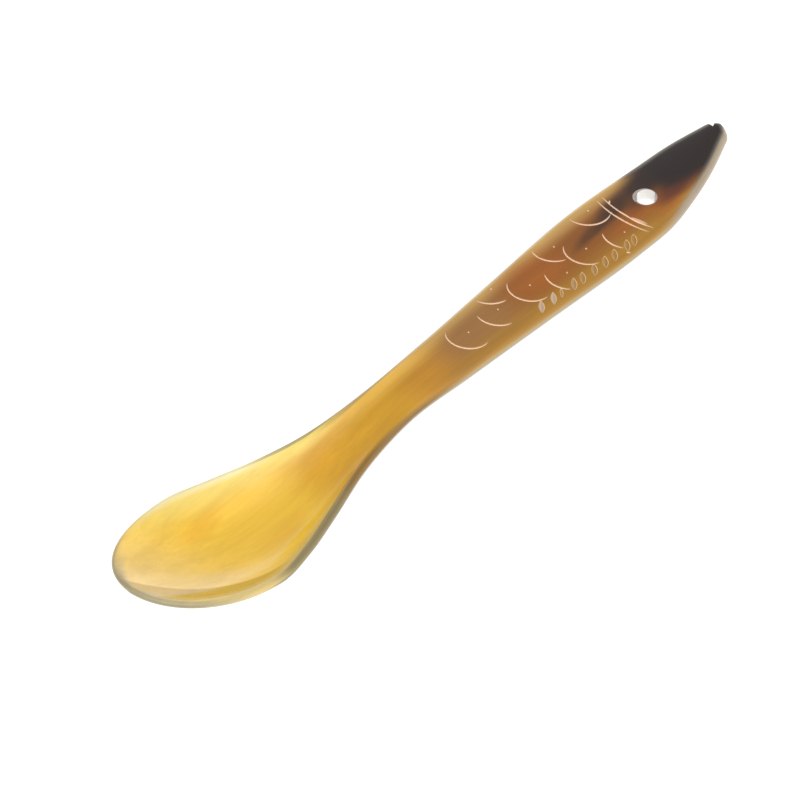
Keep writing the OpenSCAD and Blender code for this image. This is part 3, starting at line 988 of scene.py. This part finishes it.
class SPOON_OT_horn(bpy.types.Operator):
    """Make the spoon: blank, carving, eye, mouth and finish."""

    bl_idname = "spoon.horn"
    bl_label = "Horn spoon"

    def execute(self, context):
        scene = context.scene
        shape = HornShape(in_millimetres(scene.spoon_sizes))
        carving = Carving(shape, in_millimetres(scene.carving_sizes))
        tree = carving.tree()
        points, faces = blank(shape)
        mesh = bpy.data.meshes.new("horn_spoon")
        mesh.from_pydata(points.tolist(), [], faces)
        bm = bmesh.new()
        bm.from_mesh(mesh)
        bmesh.ops.recalc_face_normals(bm, faces=bm.faces)
        split_near_cuts(bm, shape.s.spoon_length / 2, tree)
        carve(bm, shape, carving, tree)
        bm.to_mesh(mesh)
        bm.free()
        horn = bpy.data.objects.new("horn_spoon", mesh)
        scene.collection.objects.link(horn)
        bore_holes(horn, hole_tools(shape))
        mesh = horn.data
        mesh.name = "horn_spoon"
        keep_inside(mesh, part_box("spoon"))
        note_places(mesh, shape, carving)
        crisp_edges(mesh, shape)
        for vertex in mesh.vertices:
            vertex.co *= MM
        mesh.materials.clear()
        mesh.materials.append(horn_finish(scene.horn_colours))
        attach(horn, "root")
        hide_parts("spoon")
        if not len(mesh.polygons):
            raise RuntimeError("the horn spoon came out empty")
        return {"FINISHED"}


def soft_light(name, power, size, place, aim):
    data = bpy.data.lights.new(name, "AREA")
    data.energy, data.shape, data.size = power, "SQUARE", size
    light = bpy.data.objects.new(name, data)
    light.location = place
    light.rotation_mode = "QUATERNION"
    light.rotation_quaternion = (Vector(aim) - Vector(place)).to_track_quat("-Z", "Y")
    bpy.context.scene.collection.objects.link(light)


def studio_light(stage):
    """Bright all round low down, dim overhead, with a wide soft glow over the near side."""
    world = bpy.data.worlds.new("studio_light")
    world.use_nodes = True
    nodes, links = world.node_tree.nodes, world.node_tree.links

    def fade(value, stops):
        node = nodes.new("ShaderNodeMapRange")
        node.interpolation_type = "SMOOTHSTEP"
        links.new(value, node.inputs["Value"])
        for name, stop in zip(("From Min", "From Max", "To Min", "To Max"), stops):
            node.inputs[name].default_value = stop
        return node.outputs["Result"]

    way = nodes.new("ShaderNodeTexCoord").outputs["Generated"]
    split = nodes.new("ShaderNodeSeparateXYZ")
    links.new(way, split.inputs["Vector"])
    toward = nodes.new("ShaderNodeVectorMath")
    toward.operation = "DOT_PRODUCT"
    links.new(way, toward.inputs[0])
    toward.inputs[1].default_value = (0, -0.6, 0.8)
    total = nodes.new("ShaderNodeMath")
    links.new(fade(split.outputs["Z"], (0.05, 0.5, stage.horizon, stage.overhead)), total.inputs[0])
    links.new(fade(toward.outputs["Value"], (0.35, 1.0, 0, stage.near_glow)), total.inputs[1])
    even = nodes["Background"]
    even.inputs["Color"].default_value = (1, 1, 1, 1)
    links.new(total.outputs[0], even.inputs["Strength"])
    return world


class SPOON_OT_stage(bpy.types.Operator):
    """Lay out the pale table, the soft lights and the camera."""

    bl_idname = "spoon.stage"
    bl_label = "Table, light and camera"

    def execute(self, context):
        scene, stage = context.scene, context.scene.stage_sizes
        scene.view_settings.view_transform = "Standard"
        half = stage.table_size / 2
        mesh = bpy.data.meshes.new("table")
        corners = [(-half, -half, 0), (half, -half, 0), (half, half, 0), (-half, half, 0)]
        mesh.from_pydata(corners, [], [(0, 1, 2, 3)])
        table = bpy.data.objects.new("table", mesh)
        mesh.materials.append(paper_finish(stage.table_tone, stage.table_glow))
        scene.collection.objects.link(table)

        scene.world = studio_light(stage)
        soft_light("key_light", stage.key, 1.2, (-0.2, -0.9, 1.2), (0, 0, 0))

        turn, rise = stage.camera_turn, stage.camera_rise
        right = Vector((math.cos(turn), -math.sin(turn), 0))
        back = Vector((-math.sin(turn) * math.cos(rise), -math.cos(turn) * math.cos(rise), math.sin(rise)))
        up = back.cross(right)
        middle = Vector((0, 0, 0.005))
        place = middle + back * stage.camera_distance
        aim = middle - right * stage.aim_left - up * stage.aim_down
        data = bpy.data.cameras.new("camera")
        data.lens, data.sensor_width = stage.lens, 36
        data.clip_start, data.clip_end = 0.01, 20
        camera = bpy.data.objects.new("camera", data)
        camera.location = place
        camera.rotation_mode = "QUATERNION"
        upright = Matrix((right, up, back)).transposed().to_quaternion()
        camera.rotation_quaternion = (-back).rotation_difference(aim - place) @ upright
        scene.collection.objects.link(camera)
        scene.camera = camera
        return {"FINISHED"}


class SPOON_PT_making(bpy.types.Panel):
    bl_label = "Horn Spoon"
    bl_idname = "SPOON_PT_making"
    bl_space_type = "VIEW_3D"
    bl_region_type = "UI"
    bl_category = "Horn Spoon"

    def draw(self, context):
        scene = context.scene
        for operator in OPERATORS:
            self.layout.operator(operator.bl_idname)
        for group in GROUPS:
            box = self.layout.box()
            for name in GROUPS[group].__annotations__:
                box.prop(getattr(scene, group), name)


GROUPS = {
    "spoon_sizes": SpoonSizes,
    "carving_sizes": CarvingSizes,
    "horn_colours": HornColours,
    "stage_sizes": StageSizes,
}
OPERATORS = (SPOON_OT_stage, SPOON_OT_horn)


def register():
    for cls in (*GROUPS.values(), *OPERATORS, SPOON_PT_making):
        bpy.utils.register_class(cls)
    for name, group in GROUPS.items():
        setattr(bpy.types.Scene, name, PointerProperty(type=group))


def unregister():
    for name in GROUPS:
        delattr(bpy.types.Scene, name)
    for cls in reversed((*GROUPS.values(), *OPERATORS, SPOON_PT_making)):
        bpy.utils.unregister_class(cls)


def main():
    register()
    bpy.ops.spoon.stage()
    bpy.ops.spoon.horn()


if __name__ == "__main__":
    main()
